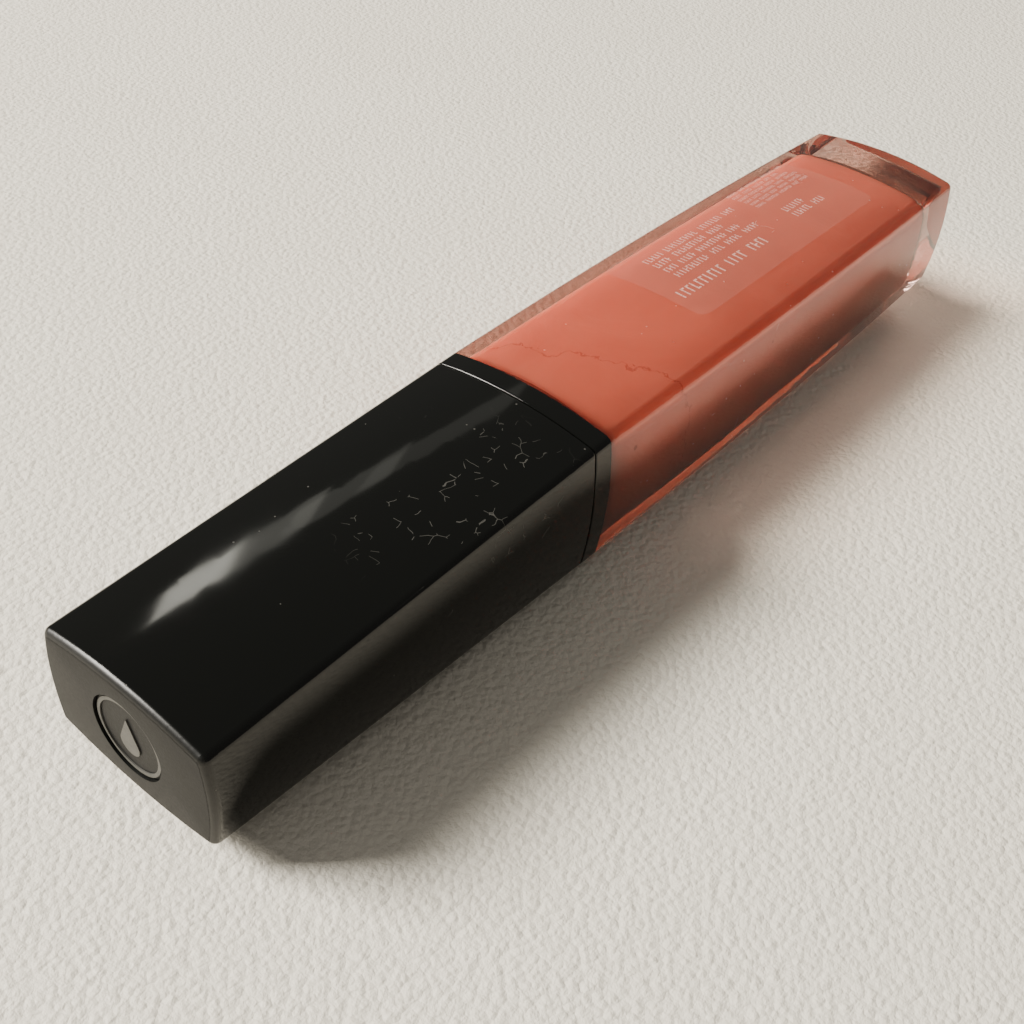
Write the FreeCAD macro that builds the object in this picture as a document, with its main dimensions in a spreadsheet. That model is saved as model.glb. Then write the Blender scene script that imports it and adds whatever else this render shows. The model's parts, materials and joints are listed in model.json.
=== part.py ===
"""Lip gloss tube: a clear crowned bottle, a black wedge cap and the wand between them.

Millimetres, +Z up. Everything is drawn about the tube's own axis: X runs from the cap's closed
end towards the bottle's base, and X = 0 is the plane where the black collar meets the clear
bottle. Each sub-part's Placement then lays the tube on its broad face, with the origin under
the middle of its whole length.
"""
import FreeCAD, Part
import math
import os
import Sketcher
from FreeCAD import Placement, Rotation, Vector

# Driving dimensions: alias, value, what it is.
DRIVING = [
    # outline of the closed tube
    ("cap_run", 40.2, "closed end to the clear bottle, collar included"),
    ("bottle_length", 60.8, "clear bottle, shoulder to base"),
    ("tip_width", 15.98, "cap width at its closed end, at the corners"),
    ("tip_height", 9.16, "cap height at its closed end, at the corners"),
    ("mouth_width", 16.5, "width where cap and bottle meet"),
    ("mouth_height", 12.56, "height where cap and bottle meet"),
    ("belly_width", 17.0, "bottle width halfway along"),
    ("belly_height", 12.56, "bottle height halfway along"),
    ("base_width", 16.32, "bottle width at its base"),
    ("base_height", 11.76, "bottle height at its base"),
    ("side_crown", 0.40, "how far a side face stands out past its corners"),
    ("face_crown", 0.72, "how far a broad face stands out past its corners"),
    ("corner_radius", 0.70, "radius along the four long edges"),
    ("end_radius", 0.65, "radius around the closed end and the base"),
    ("seam_radius", 0.12, "broken edge on both sides of the cap's seam"),
    ("sole_depth", 0.05, "depth of the flat that the bottle lies on"),
    # cap and collar
    ("collar_length", 1.9, "black collar left on the bottle"),
    ("seam_gap", 0.10, "gap between collar and cap"),
    ("cap_wall", 1.10, "wall of the cap's shell"),
    ("cap_end_wall", 2.4, "wall of the shell's closed end"),
    ("collar_gap", 0.10, "collar bore over the neck's thread"),
    # bottle
    ("side_wall", 1.45, "clear wall at the sides"),
    ("face_wall", 1.75, "clear wall at the broad faces"),
    ("shoulder_wall", 0.8, "clear wall at the shoulder"),
    ("base_wall", 5.5, "thick clear base"),
    ("cavity_corner", 0.9, "radius along the cavity's long edges"),
    ("cavity_end_radius", 0.7, "radius around the cavity's two ends"),
    ("fill_gap", 0.05, "gap between the gloss and the clear wall"),
    ("neck_length", 10.0, "neck above the shoulder"),
    ("neck_wall", 0.75, "wall of the neck under its thread"),
    # thread between neck and liner
    ("thread_pitch", 2.0, "travel for each turn"),
    ("thread_turns", 1.5, "turns of ridge on the neck"),
    ("thread_depth", 0.40, "height of the ridge"),
    ("thread_land", 0.50, "width of the ridge at its crest"),
    ("thread_flank", 0.25, "slope of each flank along the axis"),
    ("thread_gap", 0.08, "clearance all round the ridge"),
    ("thread_root", 0.10, "how deep the ridge is rooted in the neck"),
    ("thread_inset", 1.4, "first turn's distance from the neck's lip"),
    # liner inside the cap
    ("liner_gap", 0.05, "clearance between liner and shell"),
    ("liner_wall", 0.50, "wall of the liner behind its thread"),
    ("liner_setback", 0.4, "liner's rim behind the shell's rim"),
    ("liner_flange", 1.2, "thickness of the liner's flange"),
    ("liner_end_wall", 1.5, "wall between thread and wand socket"),
    ("liner_rib", 1.2, "thickness of the liner's side ribs"),
    ("socket_length", 7.0, "socket that grips the wand"),
    ("socket_wall", 1.0, "wall of the wand socket"),
    # wiper and seal
    ("wiper_flange", 0.8, "wiper's flange on the neck's lip"),
    ("wiper_length", 8.0, "how far the wiper reaches into the neck"),
    ("wiper_wall", 0.40, "wall of the wiper's sleeve"),
    ("wiper_lip", 0.8, "length of the orifice at the wiper's end"),
    ("wiper_fit", 0.03, "clearance between wiper and neck"),
    ("orifice_gap", 0.10, "orifice over the applicator"),
    ("seal_thickness", 0.7, "seal ring under the liner's end wall"),
    ("stack_gap", 0.05, "gap at each face of the seal ring"),
    ("seal_bore_gap", 0.15, "seal ring over the stem"),
    # wand
    ("stem_radius", 1.60, "wand stem"),
    ("stem_fit", 0.05, "running clearance around the stem's root"),
    ("head_radius", 2.4, "head that keeps the stem in its socket"),
    ("head_length", 1.0, "length of that head"),
    ("tip_gap", 4.0, "applicator's tip to the cavity's floor"),
    ("flock_radius", 1.90, "flocked applicator"),
    ("flock_length", 14.0, "flocked applicator, stem to tip"),
    ("flock_wall", 1.0, "pile and sleeve over the core"),
    ("slant_length", 7.0, "length of the slanted face at the tip"),
    ("slant_drop", 2.6, "depth of the slanted face at its end"),
    ("plug_radius", 0.85, "core's plug in the stem"),
    ("plug_length", 5.0, "core's plug in the stem"),
    ("plug_fit", 0.05, "clearance around the plug"),
    ("channel_gap", 0.30, "gloss standing clear of the applicator"),
    # label and end emblem
    ("film_thickness", 0.08, "clear label film"),
    ("film_start", 18.4, "film's near edge from the shoulder"),
    ("film_length", 31.6, "film along the tube"),
    ("film_width", 11.0, "film across the tube"),
    ("film_offset", 1.2, "film's middle to the left of the tube's axis"),
    ("film_corner", 1.2, "radius of the film's corners"),
    ("emblem_radius", 3.35, "round plate in the closed end"),
    ("emblem_fit", 0.04, "clearance around the plate"),
    ("emblem_plate", 0.60, "thickness of the plate"),
    ("emblem_relief", 0.10, "thickness of ring and drop on the plate"),
    ("emblem_setback", 0.15, "relief's face behind the closed end"),
    ("ring_width", 0.28, "width of the emblem's ring"),
    ("ring_inset", 0.18, "ring's distance from the plate's edge"),
    ("drop_radius", 0.95, "round part of the drop"),
    ("drop_height", 2.5, "drop's point above the centre of its round part"),
]

FULL_TURN = 360.0
QUARTER_ARC = math.pi / 2
LEAST_CHANGE = 1e-6
FINE = 0.005
SAME_PLACE = 1e-5

doc = FreeCAD.newDocument("GlossTube")
sheet = doc.addObject("Spreadsheet::Sheet", "Sizes")
for line, (alias, number, meaning) in enumerate(DRIVING, start=1):
    sheet.set(f"A{line}", meaning)
    sheet.set(f"B{line}", str(number))
    sheet.setAlias(f"B{line}", alias)
doc.recompute()


class Size:
    """A length that carries its number and the sheet expression it comes from."""

    def __init__(self, number, text):
        self.number = number
        self.text = text

    def _join(self, other, sign, number, swap=False):
        first = self.text
        second = other.text if isinstance(other, Size) else str(other)
        if swap:
            first, second = second, first
        return Size(number, f"({first} {sign} {second})")

    def __add__(self, other):
        return self._join(other, "+", self.number + plain(other))

    def __radd__(self, other):
        return self._join(other, "+", plain(other) + self.number, swap=True)

    def __sub__(self, other):
        return self._join(other, "-", self.number - plain(other))

    def __rsub__(self, other):
        return self._join(other, "-", plain(other) - self.number, swap=True)

    def __mul__(self, other):
        return self._join(other, "*", self.number * plain(other))

    def __rmul__(self, other):
        return self._join(other, "*", plain(other) * self.number, swap=True)

    def __truediv__(self, other):
        return self._join(other, "/", self.number / plain(other))

    def __neg__(self):
        return 0 - self


def plain(value):
    """The number in a Size or in a plain number."""
    return value.number if isinstance(value, Size) else value


def size(alias):
    """The Size in the sheet's cell of that alias."""
    return Size(float(getattr(sheet, alias)), f"Sizes.{alias}")


def bind(item, prop, value):
    """Bind a property to a Size, or set it where the value is a plain number."""
    if isinstance(value, Size):
        item.setExpression(prop, value.text)
    else:
        setattr(item, prop, value)


# ---- shape of the tube's outside -------------------------------------------------------------

def cap_half(across, x):
    """Half the cap's width or height at x, which is negative along the cap."""
    mouth = size(f"mouth_{across}")
    tip = size(f"tip_{across}")
    return (mouth + (tip - mouth) * (-x) / size("cap_run")) / 2


def bottle_half(across, x):
    """Half the bottle's width or height at x: a parabola through mouth, belly and base."""
    share = x / size("bottle_length")
    rest = 1 - share
    mouth = size(f"mouth_{across}") * rest * (rest - share)
    belly = 4 * size(f"belly_{across}") * share * rest
    base = size(f"base_{across}") * share * (share - rest)
    return (mouth + belly + base) / 2


def largest(*values):
    """The largest of some Sizes or plain numbers, as a Size."""
    texts = [value.text if isinstance(value, Size) else str(value) for value in values]
    return Size(max(plain(value) for value in values), f"max({'; '.join(texts)})")


def axis_height():
    """Height of the tube's axis over the table: half the bottle where it is thickest, less the sole.

    The thickest place is the crest of the parabola through mouth, belly and base, or one end of it.
    """
    mouth, belly, base = (size(f"{name}_height") for name in ("mouth", "belly", "base"))
    rise = largest(0, 4 * belly - 3 * mouth - base)
    bend = 2 * mouth - 4 * belly + 2 * base
    crest = mouth - rise * rise / (4 * bend)
    return largest(mouth, crest, base) / 2 + size("face_crown") - size("sole_depth")


def start_body(label):
    """A new body on the tube's axis, laid at its place in the part's frame."""
    body = doc.addObject("PartDesign::Body", label)
    body.Label = label
    body.setExpression("Placement.Base.x", "(Sizes.cap_run - Sizes.bottle_length) / 2")
    body.setExpression("Placement.Base.z", axis_height().text)
    return body


def plane_sketch(body, name, role, offset=None):
    """A sketch on one of the body's origin planes, moved along its normal by offset."""
    sketch = body.newObject("Sketcher::SketchObject", name)
    plane = next(item for item in body.Origin.OriginFeatures if item.Role == role)
    sketch.AttachmentSupport = [(plane, "")]
    sketch.MapMode = "FlatFace"
    if offset is not None:
        sketch.AttachmentOffset = Placement(Vector(0, 0, plain(offset)), Rotation())
        sketch.setExpression("AttachmentOffset.Base.z", offset.text)
    return sketch


def constrain(sketch, kind, *where, value=None):
    """Add a constraint and bind its value to a Size."""
    if value is None:
        sketch.addConstraint(Sketcher.Constraint(kind, *where))
        return
    index = sketch.addConstraint(Sketcher.Constraint(kind, *where, plain(value)))
    if isinstance(value, Size):
        sketch.setExpression(f"Constraints[{index}]", value.text)


ORIGIN_POINT = (-1, 1)
ON_AXIS = 0
H_AXIS = -1
V_AXIS = -2
START, END, CENTRE = 1, 2, 3


def section(body, name, x, half_width, half_height, corner=None):
    """The tube's section at x: a rectangle with crowned faces and round corners.

    The crowns are true arcs, tangent to the corner arcs, so an offset of the whole outline
    is the same outline with a larger or smaller half width, half height and corner.
    """
    corner = size("corner_radius") if corner is None else corner
    side_crown = size("side_crown")
    face_crown = size("face_crown")
    across = half_width - corner
    up = half_height - corner
    face_radius = (across * across + face_crown * face_crown) / (2 * face_crown) + corner
    side_radius = (up * up + side_crown * side_crown) / (2 * side_crown) + corner
    face_angle = math.asin(plain(across) / (plain(face_radius) - plain(corner)))
    side_angle = math.asin(plain(up) / (plain(side_radius) - plain(corner)))
    face_centre = plain(up + face_crown + corner - face_radius)
    side_centre = plain(across + side_crown + corner - side_radius)
    sketch = plane_sketch(body, name, "YZ_Plane", x)

    def arc(centre_x, centre_y, radius, start, end):
        circle = Part.Circle(Vector(centre_x, centre_y, 0), Vector(0, 0, 1), radius)
        return sketch.addGeometry(Part.ArcOfCircle(circle, start, end), False)

    faces = []
    corners = []
    for turn in range(4):
        middle = turn * QUARTER_ARC
        if turn % 2 == 0:
            reach, half = side_centre, side_angle
            radius, next_half = plain(side_radius), face_angle
        else:
            reach, half = face_centre, face_angle
            radius, next_half = plain(face_radius), side_angle
        centre_x = reach * round(math.cos(middle))
        centre_y = reach * round(math.sin(middle))
        faces.append(arc(centre_x, centre_y, radius, middle - half, middle + half))
        corner_x = plain(across) * (1 if turn in (0, 3) else -1)
        corner_y = plain(up) * (1 if turn in (0, 1) else -1)
        corners.append(
            arc(
                corner_x, corner_y, plain(corner),
                middle + half, middle + QUARTER_ARC - next_half,
            )
        )
    chain = [piece for pair in zip(faces, corners) for piece in pair]
    for first, second in zip(chain, chain[1:] + chain[:1]):
        constrain(sketch, "Tangent", first, END, second, START)
    right_top, left_top, left_bottom, right_bottom = corners
    constrain(sketch, "DistanceX", *ORIGIN_POINT, right_top, CENTRE, value=across)
    constrain(sketch, "DistanceY", *ORIGIN_POINT, right_top, CENTRE, value=up)
    constrain(sketch, "Symmetric", left_top, CENTRE, right_top, CENTRE, V_AXIS)
    constrain(sketch, "Symmetric", right_bottom, CENTRE, right_top, CENTRE, H_AXIS)
    constrain(sketch, "Symmetric", left_bottom, CENTRE, left_top, CENTRE, H_AXIS)
    constrain(sketch, "Radius", right_top, value=corner)
    for other in (left_top, left_bottom, right_bottom):
        constrain(sketch, "Equal", right_top, other)
    right, top, left, bottom = faces
    constrain(sketch, "Radius", right, value=side_radius)
    constrain(sketch, "Equal", right, left)
    constrain(sketch, "Radius", top, value=face_radius)
    constrain(sketch, "Equal", top, bottom)
    return sketch


def outline(body, name, role, points, offset=None):
    """A closed polygon; each corner is held by its two distances from the sketch's origin."""
    sketch = plane_sketch(body, name, role, offset)
    vectors = [Vector(plain(x), plain(y), 0) for x, y in points]
    edges = [
        sketch.addGeometry(Part.LineSegment(here, there), False)
        for here, there in zip(vectors, vectors[1:] + vectors[:1])
    ]
    for edge, following in zip(edges, edges[1:] + edges[:1]):
        constrain(sketch, "Coincident", edge, END, following, START)
    for edge, (x, y) in zip(edges, points):
        for kind, axis, value in (("DistanceX", V_AXIS, x), ("DistanceY", H_AXIS, y)):
            if isinstance(value, Size):
                constrain(sketch, kind, *ORIGIN_POINT, edge, START, value=value)
            else:
                constrain(sketch, "PointOnObject", edge, START, axis)
    return sketch


def disc(body, name, x, radius):
    """A circle about the tube's axis at x."""
    sketch = plane_sketch(body, name, "YZ_Plane", x)
    circle = Part.Circle(Vector(0, 0, 0), Vector(0, 0, 1), plain(radius))
    index = sketch.addGeometry(circle, False)
    constrain(sketch, "Coincident", index, CENTRE, *ORIGIN_POINT)
    constrain(sketch, "Radius", index, value=radius)
    return sketch


# ---- features --------------------------------------------------------------------------------

def solid_volume(body):
    """Volume of the body as it stands."""
    doc.recompute()
    return body.Shape.Volume


def expect(body, before, grows, name):
    """Stop where a feature added or removed nothing."""
    change = solid_volume(body) - before
    if (change > 0) != grows or abs(change) < LEAST_CHANGE:
        raise RuntimeError(f"{name} changed the volume by {change:.4f}")


def feature(body, kind, name, profile, grows, **settings):
    """One profile-based PartDesign feature, checked by the volume it adds or removes."""
    before = solid_volume(body) if body.Group and body.Tip else 0.0
    item = body.newObject(f"PartDesign::{kind}", name)
    item.Profile = (profile, [""])
    item.Refine = True
    for prop, value in settings.items():
        bind(item, prop, value)
    expect(body, before, grows, name)
    return item


def pad(body, name, sketch, length, backwards=False):
    """Extrude along +X, or along -X where backwards."""
    return feature(body, "Pad", name, sketch, True, Length=length, Reversed=backwards)


def pocket(body, name, sketch, length, backwards=False):
    """Cut along -X from the sketch, or along +X where backwards."""
    return feature(body, "Pocket", name, sketch, False, Length=length, Reversed=backwards)


def loft(body, name, sections, cuts=False):
    """A solid or a cavity through the sections, taken from the last back to the first.

    A loft drawn towards -X, against its sketches' normals, comes out right side out.
    """
    kind = "SubtractiveLoft" if cuts else "AdditiveLoft"
    others = [(sketch, [""]) for sketch in reversed(sections[:-1])]
    return feature(body, kind, name, sections[-1], not cuts, Sections=others)


def revolve(body, name, sketch, cuts=False):
    """A turned solid or a turned cut about the tube's axis."""
    kind = "Groove" if cuts else "Revolution"
    axis = (sketch, ["H_Axis"])
    return feature(body, kind, name, sketch, not cuts, ReferenceAxis=axis, Angle=FULL_TURN)


def thread(body, name, sketch, height, cuts=False):
    """A right-handed helix of the profile about the tube's axis."""
    kind = "SubtractiveHelix" if cuts else "AdditiveHelix"
    return feature(
        body, kind, name, sketch, not cuts,
        ReferenceAxis=(sketch, ["H_Axis"]), Mode=0, Pitch=size("thread_pitch"),
        Height=height, Angle=0, LeftHanded=False, Reversed=False,
    )


def round_rim(body, name, x, radius):
    """Round the edges of the body's flat face at x."""
    base = body.Tip
    names = []
    for index, edge in enumerate(base.Shape.Edges, start=1):
        if all(abs(vertex.Point.x - plain(x)) < SAME_PLACE for vertex in edge.Vertexes):
            names.append(f"Edge{index}")
    before = solid_volume(body)
    fillet = body.newObject("PartDesign::Fillet", name)
    fillet.Base = (base, names)
    bind(fillet, "Radius", radius)
    expect(body, before, False, name)
    return fillet


# ---- stations along the axis -----------------------------------------------------------------

ZERO = 0 * size("cap_run")
tip_x = -size("cap_run")
base_x = size("bottle_length")
belly_x = base_x / 2
seam_x = -size("collar_length")
rim_x = seam_x - size("seam_gap")
liner_rim_x = rim_x - size("liner_setback")
lip_x = -size("neck_length")
flange_x = lip_x - size("wiper_flange")
seal_front_x = flange_x - size("stack_gap")
seal_back_x = seal_front_x - size("seal_thickness")
seat_x = seal_back_x - size("stack_gap")
liner_end_x = seat_x - size("liner_end_wall")
socket_end_x = liner_end_x - size("socket_length")
cavity_x = size("shoulder_wall")
floor_x = base_x - size("base_wall")
applicator_x = floor_x - size("tip_gap")
stem_end_x = applicator_x - size("flock_length")
thread_x = lip_x + size("thread_inset")

# ---- radii, worked from the cap's inside towards the axis ------------------------------------

inner_height = cap_half("height", liner_end_x) + size("face_crown") - size("cap_wall")
liner_radius = inner_height - size("liner_gap")
groove_radius = liner_radius - size("liner_wall")
crest_radius = groove_radius - size("thread_gap")
neck_radius = crest_radius - size("thread_depth")
liner_bore = neck_radius + size("thread_gap")
neck_bore = neck_radius - size("neck_wall")
wiper_radius = neck_bore - size("wiper_fit")
wiper_bore = wiper_radius - size("wiper_wall")
orifice_radius = size("flock_radius") + size("orifice_gap")
stem_radius = size("stem_radius")
stem_bore = stem_radius + size("stem_fit")
core_radius = size("flock_radius") - size("flock_wall")


def thread_profile(body, name, x, gap, inside, outside):
    """The ridge's trapezoid about x, grown by gap, from the inside to the outside radius."""
    half_land = size("thread_land") / 2 + gap
    half_root = half_land + size("thread_flank")
    points = [
        (x - half_root, inside),
        (x - half_land, outside),
        (x + half_land, outside),
        (x + half_root, inside),
    ]
    return outline(body, name, "XY_Plane", points)


# ---- bottle ----------------------------------------------------------------------------------

def bottle_sections(body, prefix, grow):
    """Three sections of the bottle's outside, grown by a film's thickness or by nothing."""
    corner = size("corner_radius") + grow
    stations = (("mouth", ZERO), ("belly", belly_x), ("base", base_x))
    return [
        section(
            body, f"{prefix}_{name}", x,
            size(f"{name}_width") / 2 + grow, size(f"{name}_height") / 2 + grow, corner,
        )
        for name, x in stations
    ]


def cavity_sections(body, prefix, gap):
    """Three sections of the bottle's inside, shrunk by gap on every side."""
    stations = (("shoulder", cavity_x + gap), ("belly", belly_x), ("floor", floor_x - gap))
    return [
        section(
            body, f"{prefix}_{name}", x,
            bottle_half("width", x) - size("side_wall") - gap,
            bottle_half("height", x) - size("face_wall") - gap,
            size("cavity_corner") - gap,
        )
        for name, x in stations
    ]


def lowest_point(body):
    """Height of the body's lowest point over the table."""
    doc.recompute()
    points, _ = body.Shape.tessellate(FINE)
    return min(point.z for point in points)


def lay_flat(body):
    """Cut the bottle flat where it lies, checked by its lowest point: the cut is too thin to weigh."""
    before = lowest_point(body)
    reach = size("belly_width")
    table = -axis_height()
    under = [(-reach, -reach), (reach, -reach), (reach, table), (-reach, table)]
    sole = body.newObject("PartDesign::Pocket", "sole")
    sole.Profile = (outline(body, "under_sole", "YZ_Plane", under, base_x + reach), [""])
    sole.Refine = True
    bind(sole, "Length", base_x + 2 * reach)
    if lowest_point(body) <= before:
        raise RuntimeError("the sole cut nothing away")


def make_bottle():
    """Thick clear bottle with its threaded neck."""
    body = start_body("bottle")
    loft(body, "bottle_outside", bottle_sections(body, "outside", ZERO))
    lay_flat(body)
    round_rim(body, "base_edge", base_x, size("end_radius"))
    neck = disc(body, "neck_circle", ZERO, neck_radius)
    pad(body, "neck", neck, size("neck_length"), backwards=True)
    root_radius = neck_radius - size("thread_root")
    ridge = thread_profile(body, "ridge", thread_x, ZERO, root_radius, crest_radius)
    thread(body, "neck_thread", ridge, size("thread_turns") * size("thread_pitch"))
    loft(body, "cavity", cavity_sections(body, "cavity", ZERO), cuts=True)
    bore = disc(body, "neck_bore_circle", cavity_x + size("cavity_end_radius"), neck_bore)
    depth = size("neck_length") + size("shoulder_wall") + size("cavity_end_radius")
    pocket(body, "neck_bore", bore, depth)
    return body


def make_collar():
    """Black collar on the bottle's shoulder, cut to the cap's taper."""
    body = start_body("bottle_collar")
    ends = [
        section(body, f"collar_{name}", x, cap_half("width", x), cap_half("height", x))
        for name, x in (("seam", seam_x), ("shoulder", ZERO))
    ]
    loft(body, "collar", ends)
    round_rim(body, "seam_edge", seam_x, size("seam_radius"))
    bore = disc(body, "collar_bore_circle", ZERO, crest_radius + size("collar_gap"))
    pocket(body, "collar_bore", bore, size("collar_length"))
    return body


def make_wiper():
    """Soft wiper pressed into the neck: flange, thin sleeve and a narrow orifice."""
    body = start_body("wiper")
    lip_end = lip_x + size("wiper_length")
    lip_start = lip_end - size("wiper_lip")
    points = [
        (flange_x, wiper_bore),
        (flange_x, neck_radius),
        (lip_x, neck_radius),
        (lip_x, wiper_radius),
        (lip_start - size("wiper_lip"), wiper_radius),
        (lip_end, orifice_radius + size("wiper_wall")),
        (lip_end, orifice_radius),
        (lip_start, orifice_radius),
        (lip_start - 2 * size("wiper_lip"), wiper_bore),
    ]
    revolve(body, "wiper_turned", outline(body, "wiper_profile", "XY_Plane", points))
    return body


def make_gloss():
    """The gloss that fills the cavity, with the channel that the wand stands in."""
    body = start_body("gloss_fill")
    gap = size("fill_gap")
    loft(body, "gloss", cavity_sections(body, "gloss", gap))
    bore_end = applicator_x + size("channel_gap")
    bore = disc(body, "channel_circle", bore_end, size("flock_radius") + size("channel_gap"))
    pocket(body, "wand_channel", bore, bore_end - cavity_x)
    return body


def make_film():
    """Clear label film wrapped over the bottle's upper face."""
    body = start_body("label_film")
    loft(body, "film_outside", bottle_sections(body, "film", size("film_thickness")))
    loft(body, "film_inside", bottle_sections(body, "under_film", ZERO), cuts=True)
    reach = size("belly_width")
    lower = [(-reach, -reach), (reach, -reach), (reach, ZERO), (-reach, ZERO)]
    half = outline(body, "lower_half", "YZ_Plane", lower, base_x)
    pocket(body, "film_lower", half, size("bottle_length"))
    trim = film_trim(body)
    pocket(body, "film_trim", trim, size("belly_height"), backwards=True)
    return body


def film_trim(body):
    """A frame around the film: a rectangle outside and the film's round corners inside."""
    left = size("film_start")
    right = left + size("film_length")
    near_side = size("film_offset") - size("film_width") / 2
    far_side = size("film_offset") + size("film_width") / 2
    corner = size("film_corner")
    margin = size("belly_width")
    frame = [
        (-margin, -margin), (base_x + margin, -margin), (base_x + margin, margin), (-margin, margin),
    ]
    sketch = outline(body, "film_outline", "XY_Plane", frame)
    centres = [
        (right - corner, far_side - corner), (left + corner, far_side - corner),
        (left + corner, near_side + corner), (right - corner, near_side + corner),
    ]
    arcs = []
    for turn, (x, y) in enumerate(centres):
        circle = Part.Circle(Vector(plain(x), plain(y), 0), Vector(0, 0, 1), plain(corner))
        arc = Part.ArcOfCircle(circle, turn * QUARTER_ARC, (turn + 1) * QUARTER_ARC)
        arcs.append(sketch.addGeometry(arc, False))
    for index, arc in enumerate(arcs):
        following = arcs[(index + 1) % 4]
        ends = [sketch.getPoint(arc, END), sketch.getPoint(following, START)]
        line = sketch.addGeometry(Part.LineSegment(*ends), False)
        constrain(sketch, "Tangent", arc, END, line, START)
        constrain(sketch, "Tangent", line, END, following, START)
    for arc, (x, y) in zip(arcs, centres):
        constrain(sketch, "DistanceX", *ORIGIN_POINT, arc, CENTRE, value=x)
        constrain(sketch, "DistanceY", *ORIGIN_POINT, arc, CENTRE, value=y)
    constrain(sketch, "Radius", arcs[0], value=corner)
    return sketch


# ---- cap -------------------------------------------------------------------------------------

def make_shell():
    """Glossy black wedge of the cap, hollow from its rim, with a round seat in its end."""
    body = start_body("cap_shell")
    ends = [
        section(body, f"shell_{name}", x, cap_half("width", x), cap_half("height", x))
        for name, x in (("tip", tip_x), ("rim", rim_x))
    ]
    loft(body, "shell", ends)
    round_rim(body, "tip_edge", tip_x, size("end_radius"))
    round_rim(body, "rim_edge", rim_x, size("seam_radius"))
    wall = size("cap_wall")
    hollow_x = tip_x + size("cap_end_wall")
    inside = [
        section(
            body, f"hollow_{name}", x,
            cap_half("width", x) - wall, cap_half("height", x) - wall,
        )
        for name, x in (("end", hollow_x), ("rim", rim_x))
    ]
    loft(body, "hollow", inside, cuts=True)
    depth = size("emblem_plate") + size("emblem_relief") + size("emblem_setback")
    seat = disc(body, "seat_circle", tip_x + depth, size("emblem_radius") + size("emblem_fit"))
    pocket(body, "emblem_seat", seat, depth)
    return body


def make_liner():
    """Inner closure: threaded tube, flange and ribs that seat in the shell, wand socket."""
    body = start_body("cap_liner")
    socket_radius = stem_bore + size("socket_wall")
    turned = [
        (socket_end_x, ON_AXIS),
        (socket_end_x, socket_radius),
        (liner_end_x, socket_radius),
        (liner_end_x, liner_radius),
        (liner_rim_x, liner_radius),
        (liner_rim_x, ON_AXIS),
    ]
    revolve(body, "liner_turned", outline(body, "liner_profile", "XY_Plane", turned))
    wall = size("cap_wall") + size("liner_gap")
    flange_back = liner_rim_x - size("liner_flange")
    flange = section(
        body, "flange_section", flange_back,
        cap_half("width", flange_back) - wall, cap_half("height", flange_back) - wall,
    )
    pad(body, "flange", flange, size("liner_flange"))
    rib_reach = cap_half("width", liner_end_x) + size("side_crown") - wall
    rib_half = size("liner_rib") / 2
    corners = [
        (-rib_reach, -rib_half), (rib_reach, -rib_half),
        (rib_reach, rib_half), (-rib_reach, rib_half),
    ]
    ribs = outline(body, "rib_section", "YZ_Plane", corners, liner_end_x)
    pad(body, "side_ribs", ribs, flange_back - liner_end_x)
    bored = [
        (socket_end_x, ON_AXIS),
        (socket_end_x, stem_bore),
        (seat_x, stem_bore),
        (seat_x, liner_bore),
        (liner_rim_x, liner_bore),
        (liner_rim_x, ON_AXIS),
    ]
    revolve(body, "liner_bore", outline(body, "bore_profile", "XY_Plane", bored), cuts=True)
    start = thread_x - size("thread_pitch")
    gap = size("thread_gap")
    inside = liner_bore - size("thread_root")
    groove = thread_profile(body, "groove", start, gap, inside, groove_radius)
    turns = 1 + (liner_rim_x - thread_x) / size("thread_pitch")
    thread(body, "liner_thread", groove, (turns + 1) * size("thread_pitch"), cuts=True)
    return body


def make_emblem():
    """Round plate in the cap's closed end, with a ring and a drop standing on it."""
    plate = start_body("emblem_disc")
    face_x = tip_x + size("emblem_setback") + size("emblem_relief")
    radius = size("emblem_radius")
    pad(plate, "plate", disc(plate, "plate_circle", face_x, radius), size("emblem_plate"))

    ring = start_body("emblem_ring")
    outside = radius - size("ring_inset")
    inside = outside - size("ring_width")
    relief = size("emblem_relief")
    back = face_x
    pad(ring, "ring_blank", disc(ring, "ring_outside", back - relief, outside), relief)
    pocket(ring, "ring_hole", disc(ring, "ring_inside", back, inside), relief)

    drop = start_body("emblem_drop")
    pad(drop, "drop", drop_sketch(drop, back - relief), relief)
    return plate, ring, drop


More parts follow.
